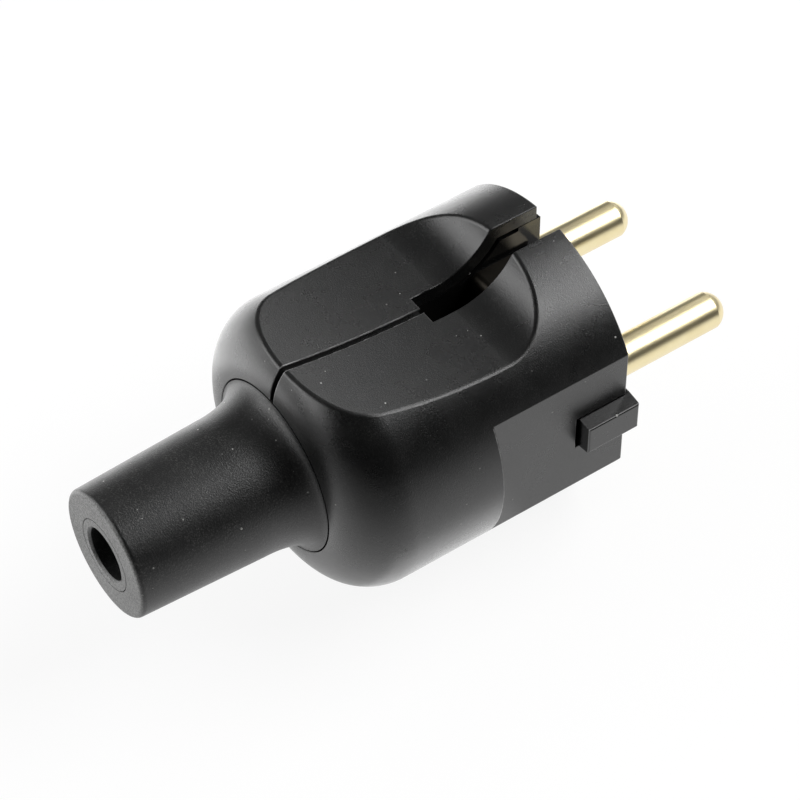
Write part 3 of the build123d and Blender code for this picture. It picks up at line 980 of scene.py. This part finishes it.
@dataclass(frozen=True)
class Softbox:
    """A flat soft lamp that the camera doesn't see."""

    name: str
    place: Place
    width: float
    height: float
    radiance: float
    faces: Place = (0.0, 0.0, 0.0)

    def add(self) -> None:
        """Hang the lamp where it is, turned to what it faces."""
        lamp = bpy.data.lights.new(self.name, "AREA")
        lamp.shape = "RECTANGLE"
        lamp.size = self.width
        lamp.size_y = self.height
        lamp.energy = self.radiance * math.pi * self.width * self.height
        holder = bpy.data.objects.new(self.name, lamp)
        bpy.context.scene.collection.objects.link(holder)
        away = Vector(self.place) - Vector(self.faces)
        holder.location = self.place
        holder.rotation_euler = away.to_track_quat("Z", "Y").to_euler()
        holder.visible_camera = False
        LOG.info("%s is up", self.name)


@dataclass(frozen=True)
class Studio:
    """White floor, soft lamps, a dim room and the camera of the picture."""

    image_size: float = 800.0
    focal_pixels: float = 3272.36
    sensor: float = 36.0
    near_clip: float = 0.01
    camera_place: Place = (-0.16838, -0.2103, 0.2913)
    camera_azimuth: float = -34.889
    camera_elevation: float = 48.649
    camera_roll: float = -0.099
    floor_size: float = 6.0
    floor_colour: Colour = (0.12, 0.12, 0.12)
    floor_roughness: float = 0.9
    floor_glow: float = 0.9
    near_glow: float = 1.0
    dim_glow: float = 0.3
    bright_reach: float = 0.03
    dim_reach: float = 0.115
    room_light: float = 0.13
    dark_azimuth: float = -124.0
    dark_elevation: float = 25.0
    dark_from: float = 85.0
    dark_within: float = 58.0
    lamps: tuple[Softbox, ...] = (
        Softbox("front_softbox", place=(0.375, -0.12, 0.46), width=0.52, height=0.28, radiance=7.3),
        Softbox("low_front_fill", place=(0.43, 0.33, 0.3), width=0.26, height=0.22, radiance=2.3),
        Softbox("back_left_softbox", place=(-0.515, 0.3, 0.255), width=0.69, height=0.36, radiance=3.3),
        Softbox("low_back_panel", place=(-0.05, 0.115, -0.0165), faces=(-0.05, 0.115, 1.0),
                width=0.26, height=0.16, radiance=1.25),
        Softbox("low_near_panel", place=(-0.0235, -0.017, -0.0172), faces=(-0.0235, -0.017, 1.0),
                width=0.023, height=0.018, radiance=0.55),
    )

    def add_camera(self) -> None:
        """Set up the camera at the picture's own viewing angle."""
        data = bpy.data.cameras.new("picture_camera")
        data.sensor_width = self.sensor
        data.lens = self.focal_pixels * self.sensor / self.image_size
        data.clip_start = self.near_clip
        camera = bpy.data.objects.new("picture_camera", data)
        bpy.context.scene.collection.objects.link(camera)
        turn, rise = math.radians(self.camera_azimuth), math.radians(self.camera_elevation)
        roll = math.radians(self.camera_roll)
        back = Vector((math.sin(turn) * math.cos(rise), -math.cos(turn) * math.cos(rise), math.sin(rise)))
        level = Vector((math.cos(turn), math.sin(turn), 0.0))
        above = back.cross(level)
        right = math.cos(roll) * level + math.sin(roll) * above
        upward = math.cos(roll) * above - math.sin(roll) * level
        pose = Matrix((right, upward, back)).transposed().to_4x4()
        pose.translation = Vector(self.camera_place)
        camera.matrix_world = pose
        bpy.context.scene.camera = camera

    def add_floor(self, height: float) -> None:
        """Lay the white floor, which keeps the plug's soft shadow.

        In mirrored rays it is dimmer on the side where the picture's camera stands.

        Args:
            height: Where the floor lies, at the plug's lowest point.
        """
        Modeller.clear()
        bpy.ops.mesh.primitive_plane_add(size=self.floor_size, location=(0.0, 0.0, height))
        floor = bpy.context.object
        floor.name = "floor"
        paper = bpy.data.materials.new("white_paper")
        paper.use_nodes = True
        bench = NodeBench(paper.node_tree)
        shader = paper.node_tree.nodes["Principled BSDF"]
        path = bench.add("ShaderNodeLightPath")
        seen = bench.math("MAXIMUM", path.outputs["Is Camera Ray"], path.outputs["Is Transmission Ray"])
        towards = bench.add("ShaderNodeVectorMath", operation="DOT_PRODUCT")
        near = Vector(self.camera_place).to_2d().normalized()
        towards.inputs[1].default_value = (near.x, near.y, 0.0)
        bench.link(bench.add("ShaderNodeTexCoord").outputs["Object"], towards.inputs[0])
        level = bench.ramp(towards.outputs["Value"], self.bright_reach, self.dim_reach,
                           self.near_glow, self.dim_glow)
        mirrored = bench.math("MULTIPLY", path.outputs["Is Glossy Ray"], level)
        glow = bench.math("ADD", bench.math("MULTIPLY", seen, self.floor_glow), mirrored)
        bench.feed(shader, Base_Color=(*self.floor_colour, 1.0), Roughness=self.floor_roughness,
                   Specular_IOR_Level=0.0, Emission_Color=(1.0, 1.0, 1.0, 1.0), Emission_Strength=glow)
        floor.data.materials.append(paper)
        floor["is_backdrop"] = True

    def add_room(self) -> None:
        """Light the room dimly, and leave it dark on the side where the picture's camera stands."""
        world = bpy.data.worlds.new("studio_room")
        world.use_nodes = True
        bpy.context.scene.world = world
        bench = NodeBench(world.node_tree)
        ground = world.node_tree.nodes["Background"]
        turn, rise = math.radians(self.dark_azimuth), math.radians(self.dark_elevation)
        aim = (math.cos(turn) * math.cos(rise), math.sin(turn) * math.cos(rise), math.sin(rise))
        facing = bench.add("ShaderNodeVectorMath", operation="DOT_PRODUCT")
        facing.inputs[1].default_value = aim
        bench.link(bench.add("ShaderNodeTexCoord").outputs["Generated"], facing.inputs[0])
        edge, core = (math.cos(math.radians(angle)) for angle in (self.dark_from, self.dark_within))
        level = bench.ramp(facing.outputs["Value"], edge, core, self.room_light, 0.0)
        path = bench.add("ShaderNodeLightPath")
        white = bench.math("MAXIMUM", level, path.outputs["Is Camera Ray"])
        bench.feed(ground, Color=(1.0, 1.0, 1.0, 1.0), Strength=white)

    def build(self, floor_height: float) -> None:
        """Set up the whole studio.

        Args:
            floor_height: Where the floor lies.
        """
        self.add_camera()
        self.add_floor(floor_height)
        self.add_room()
        for lamp in self.lamps:
            lamp.add()
        bpy.context.scene.view_settings.view_transform = "Standard"


def corners(box: object) -> list[list[float]]:
    """A box's two corners as plain lists of numbers."""
    return [[float(value) for value in corner] for corner in box]


def main() -> None:
    """Load the solids, build and dress the sub-assemblies, and set up the studio with its floor at the
    solids' lowest point.
    """
    logging.basicConfig(level=logging.INFO, format="%(name)s: %(message)s")
    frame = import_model()
    cad_box = corners(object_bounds())
    Modeller.clear()
    for kind in (Housing, ContactInsert, CableEntry, Fasteners):
        part = kind(frame)
        part.build()
        part.dress()
        LOG.info("%s is done", kind.__name__)
    Studio().build(cad_box[0][2])


if __name__ == "__main__":
    main()
